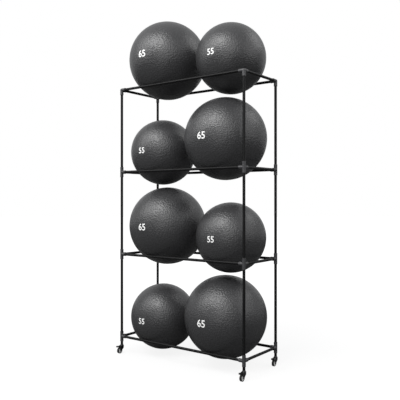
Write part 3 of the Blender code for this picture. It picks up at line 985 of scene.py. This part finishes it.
def pebbled_vinyl():
    """The balls' skin: close-set rounded pebbles about 13 mm across, with a finer grain over them, and
    painted shade that darkens the grooves between the pebbles.
    """
    material = finish(
        "charcoal_vinyl",
        colour=(0.036, 0.036, 0.038),
        rubbed_colour=(0.046, 0.046, 0.048),
        roughness=(0.28, 0.34),
        grain=(420.0, 0.00012, 5.0, 0.10),
        rubbing=(30.0, 6.0, 0.12),
        dust=(0.02, 8.0),
    )
    tree = material.node_tree
    shader = tree.nodes["Principled BSDF"]
    place = tree.nodes.new("ShaderNodeTexCoord").outputs["Object"]
    warp = node_on(tree, "ShaderNodeTexNoise", {"Vector": place, "Scale": 45.0, "Detail": 1.0})
    shift = node_on(
        tree, "ShaderNodeVectorMath", {0: warp.outputs["Color"], "Scale": 0.004}, operation="SCALE"
    )
    moved = node_on(tree, "ShaderNodeVectorMath", {0: place, 1: shift.outputs[0]}, operation="ADD")
    cells = node_on(
        tree,
        "ShaderNodeTexVoronoi",
        {"Vector": moved.outputs[0], "Scale": PEBBLES_PER_METRE, "Randomness": PEBBLE_SCATTER},
        feature="F1",
    )
    from_middle = cells.outputs["Distance"]
    pebbles = ramp_on(tree, from_middle, 0.0, PEBBLE_EDGE, (1.0, 0.0), interpolation_type="SMOOTHSTEP")
    smooth_skin = shader.inputs["Base Color"].links[0].from_socket
    # Painted shade: the grooves take a darker colour than the pebbles' tops.
    shaded_grooves_colour = blend_colours(tree, pebbles, GROOVE_PAINTED_SHADE, smooth_skin)
    tree.links.new(shaded_grooves_colour, shader.inputs["Base Color"])
    fine = next(node for node in tree.nodes if node.type == "BUMP")
    relief = node_on(
        tree,
        "ShaderNodeBump",
        {"Strength": 1.0, "Distance": PEBBLE_DEPTH, "Height": pebbles, "Normal": fine.outputs["Normal"]},
    )
    tree.links.new(relief.outputs["Normal"], shader.inputs["Normal"])
    return material


vinyl = pebbled_vinyl()
plug_plastic = finish(
    "grey_valve_plug",
    colour=(0.09, 0.09, 0.095),
    rubbed_colour=(0.14, 0.14, 0.14),
    roughness=(0.35, 0.45),
    grain=(1500.0, 0.00003, 80.0, 0.1),
    rubbing=(200.0, 90.0, 0.2),
    dust=(0.05, 60.0),
)
BALLS = [f"ball_{side}_{tier}" for tier in range(1, TIERS + 1) for side in ("left", "right")]


def ball_place(node):
    """A ball's radius and centre, from the box of its CAD node."""
    low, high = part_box(node)
    radius = round((high.x - low.x) / 2, 3)
    return radius, Vector(((low.x + high.x) / 2, 0, high.z - radius))


balls_by_size = {}
for node in BALLS:
    radius, centre = ball_place(node)
    if radius not in balls_by_size:
        balls_by_size[radius] = ball_mesh(radius)
    ball = placed_copy(f"inflated_{node}", balls_by_size[radius], Matrix.Translation(centre), vinyl)
    fitted(ball, node, [node])
    seat = Matrix.Translation(centre + LEFT * (radius - DISH_DEPTH))
    fitted(placed_copy(f"valve_plug_{node}", plug_mesh(), seat, plug_plastic), node)

# Size numbers
# The diameter in centimetres, screen printed in thick white ink on each ball, upright in the middle of
# its front, where the photographed balls carry a mark.
DIGIT_SHARE = 0.085  # of the ball's diameter
DIGIT_WEIGHT = 0.012  # how much bolder than the plain typeface
INK_THICK = 0.0004
PRINT_GRID = 0.004
PRINT_CUTS = 10  # on either side of the middle


def digits_mesh(text, height):
    """Flat digits in the XZ plane, centred, and cut in a grid so that they can follow a ball."""
    curve = bpy.data.curves.new("digits", "FONT")
    curve.body = text
    curve.align_x = "CENTER"
    curve.align_y = "CENTER"
    curve.offset = DIGIT_WEIGHT
    holder = bpy.data.objects.new("digits", curve)
    bpy.context.scene.collection.objects.link(holder)
    flat = bpy.data.meshes.new_from_object(holder.evaluated_get(bpy.context.evaluated_depsgraph_get()))
    bpy.data.objects.remove(holder)
    corners = [vertex.co.copy() for vertex in flat.vertices]
    low = Vector((min(point.x for point in corners), min(point.y for point in corners), 0))
    high = Vector((max(point.x for point in corners), max(point.y for point in corners), 0))
    flat.transform(Matrix.Scale(height / (high.y - low.y), 4) @ Matrix.Translation(-(low + high) / 2))
    bm = bmesh.new()
    bm.from_mesh(flat)
    bmesh.ops.remove_doubles(bm, verts=bm.verts, dist=MERGED)
    for normal in (RIGHT, BACK):
        for step in range(-PRINT_CUTS, PRINT_CUTS + 1):
            geometry = bm.verts[:] + bm.edges[:] + bm.faces[:]
            bmesh.ops.bisect_plane(bm, geom=geometry, plane_co=normal * step * PRINT_GRID, plane_no=normal)
    return bm


def wrap_print(bm, radius, centre):
    """Lays flat digits on the front of a ball as a thin layer of ink."""
    for face in bm.faces:
        face.normal_update()
        if face.normal.z < 0:
            face.normal_flip()
    skin = bmesh.ops.extrude_face_region(bm, geom=bm.faces[:])
    raised = {item for item in skin["geom"] if isinstance(item, bmesh.types.BMVert)}
    for vertex in bm.verts:
        across, up = vertex.co.x / radius, vertex.co.y / radius
        out = Vector((math.sin(across) * math.cos(up), -math.cos(across) * math.cos(up), math.sin(up)))
        height = radius + (INK_THICK if vertex in raised else -INK_THICK / 4)
        vertex.co = centre + out * height
    bmesh.ops.recalc_face_normals(bm, faces=bm.faces)
    mesh = bpy.data.meshes.new("print")
    bm.to_mesh(mesh)
    bm.free()
    without_slivers(mesh)
    return mesh


white_ink = finish(
    "white_screen_ink",
    colour=(0.86, 0.86, 0.85),
    rubbed_colour=(0.55, 0.55, 0.55),
    roughness=(0.40, 0.55),
    grain=(900.0, 0.00006, 60.0, 0.03),
    rubbing=(90.0, 60.0, 0.35),
    dust=(0.02, 40.0),
)
for node in BALLS:
    radius, centre = ball_place(node)
    digits = digits_mesh(f"{2 * radius * 100:.0f}", 2 * radius * DIGIT_SHARE)
    mesh = wrap_print(digits, radius, centre)
    fitted(placed_copy(f"size_number_{node}", mesh, Matrix.Identity(4), white_ink), node)

# Studio
# A white seamless room, lit evenly by a ring of large soft lights of which the one high on the left is the
# brightest. The camera stands at eye height, to the right of the rack's front.
CAMERA_PLACE = Vector((2.7916, -3.6525, 1.3014))
CAMERA_TURN = math.radians(36.944)  # its view, turned left from straight along +Y
CAMERA_LENS = 50.465
SENSOR = 36.0
SOFTBOX_DISTANCE = 7.0
camera_right = Vector((math.cos(CAMERA_TURN), math.sin(CAMERA_TURN), 0))
towards_camera = Vector((math.sin(CAMERA_TURN), -math.cos(CAMERA_TURN), 0))
scene = bpy.context.scene
lens = bpy.data.cameras.new("camera")
lens.lens = CAMERA_LENS
lens.sensor_width = SENSOR
lens.clip_end = 200.0
camera = bpy.data.objects.new("camera", lens)
camera_facing = (-towards_camera).to_track_quat("-Z", "Y").to_matrix().to_4x4()
camera.matrix_world = Matrix.Translation(CAMERA_PLACE) @ camera_facing
scene.collection.objects.link(camera)
scene.camera = camera
scene.view_settings.view_transform = "Standard"


def add_softbox(name, rise, turn, size, power):
    """A soft light that shines on the middle of the rack, from a rise above level and a turn to the
    camera's right, both in degrees."""
    rise, turn = math.radians(rise), math.radians(turn)
    level = camera_right * math.sin(turn) + towards_camera * math.cos(turn)
    way = level * math.cos(rise) + UP * math.sin(rise)
    light = bpy.data.lights.new(name, "AREA")
    light.shape = "SQUARE"
    light.size = light.size_y = size
    light.energy = power
    box = bpy.data.objects.new(name, light)
    middle = (cad_box[0] + cad_box[1]) / 2
    facing = way.to_track_quat("Z", "Y").to_matrix().to_4x4()
    box.matrix_world = Matrix.Translation(middle + way * SOFTBOX_DISTANCE) @ facing
    box.visible_camera = False
    scene.collection.objects.link(box)


add_softbox("key_softbox", 50, -40, 3.6, 280)
add_softbox("left_softbox", 36, -74, 5.0, 222)
add_softbox("front_softbox", 34, -8, 5.0, 155)
add_softbox("low_front_softbox", 0, -20, 4.0, 48)
add_softbox("right_softbox", 24, 62, 5.0, 68)
add_softbox("right_back_softbox", 44, 100, 3.6, 65)


def room_world():
    """White where the camera looks past the rack, and a dim grey fill for everything that it lights."""
    world = bpy.data.worlds.new("white_room")
    world.use_nodes = True
    tree = world.node_tree
    tree.nodes.clear()
    seen = tree.nodes.new("ShaderNodeLightPath").outputs["Is Camera Ray"]
    fill = node_on(tree, "ShaderNodeBackground", {"Color": (0.98, 0.99, 1.0, 1), "Strength": 0.62})
    white = node_on(tree, "ShaderNodeBackground", {"Color": (1, 1, 1, 1), "Strength": 1.0})
    mix = node_on(tree, "ShaderNodeMixShader", {0: seen, 1: fill.outputs[0], 2: white.outputs[0]})
    node_on(tree, "ShaderNodeOutputWorld", {"Surface": mix.outputs[0]})
    return world


scene.world = room_world()


def floor_material():
    """Pale studio floor. It looks nearly white, wholly so away from the rack, and throws little light up."""
    material = bpy.data.materials.new("pale_floor")
    material.use_nodes = True
    tree = material.node_tree
    shader = tree.nodes["Principled BSDF"]
    place = tree.nodes.new("ShaderNodeTexCoord").outputs["Object"]
    clouds = noise_on(tree, place, 1.4, 4.0)
    tone = blend_colours(tree, clouds, (0.115, 0.115, 0.115, 1), (0.125, 0.125, 0.125, 1))
    tree.links.new(tone, shader.inputs["Base Color"])
    shader.inputs["Roughness"].default_value = 0.9
    shader.inputs["Specular IOR Level"].default_value = 0.0
    seen = tree.nodes.new("ShaderNodeLightPath").outputs["Is Camera Ray"]
    away = node_on(tree, "ShaderNodeVectorMath", {0: place}, operation="LENGTH")
    whiter = ramp_on(tree, away.outputs["Value"], 0.8, 5.0, (0.86, 1.0))
    shader.inputs["Emission Color"].default_value = (1, 1, 1, 1)
    tree.links.new(math_on(tree, "MULTIPLY", seen, whiter), shader.inputs["Emission Strength"])
    return material


FLOOR_R = 40.0
floor_shape = bmesh.new()
bmesh.ops.create_circle(floor_shape, cap_ends=True, segments=64, radius=FLOOR_R)
floor = bpy.data.objects.new("studio_floor", bpy.data.meshes.new("studio_floor"))
floor_shape.to_mesh(floor.data)
floor_shape.free()
floor.data.materials.append(floor_material())
scene.collection.objects.link(floor)
